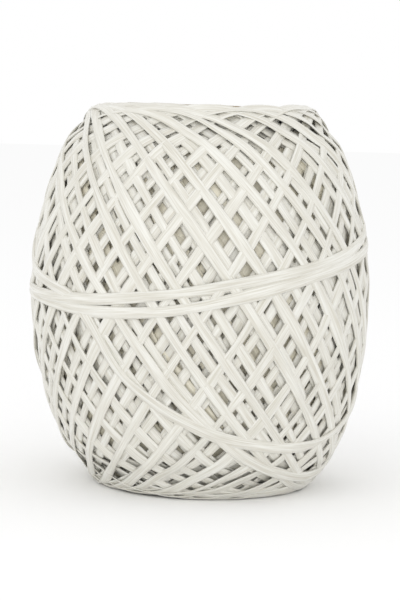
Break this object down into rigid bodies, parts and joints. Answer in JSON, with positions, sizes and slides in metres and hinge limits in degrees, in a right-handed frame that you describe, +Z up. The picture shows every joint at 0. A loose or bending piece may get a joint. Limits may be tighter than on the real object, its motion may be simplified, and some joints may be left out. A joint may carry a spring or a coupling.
{
  "type": "ball of twine",
  "caption": "Barrel-shaped, cross-wound ball of flat white twine on a card tube, with slanted finishing turns round its waist.",
  "frame": {"origin": "middle of the card tube's lower end, level with the ring that the ball stands on", "axes": "+Z up along the tube's axis, -Y towards the front, where the waist turns hang lowest to the left, +X to the right"},
  "size_m": [0.0786, 0.0784, 0.0845],
  "materials": {
    "twine": "satin",
    "card": "matte"
  },
  "bodies": {
    "root": {"core_tube": "card", "inner_winding": "twine", "outer_winding": "twine", "slipped_turn": "twine", "waist_wraps": "twine", "twine_tail": "twine"}
  },
  "joints": []
}
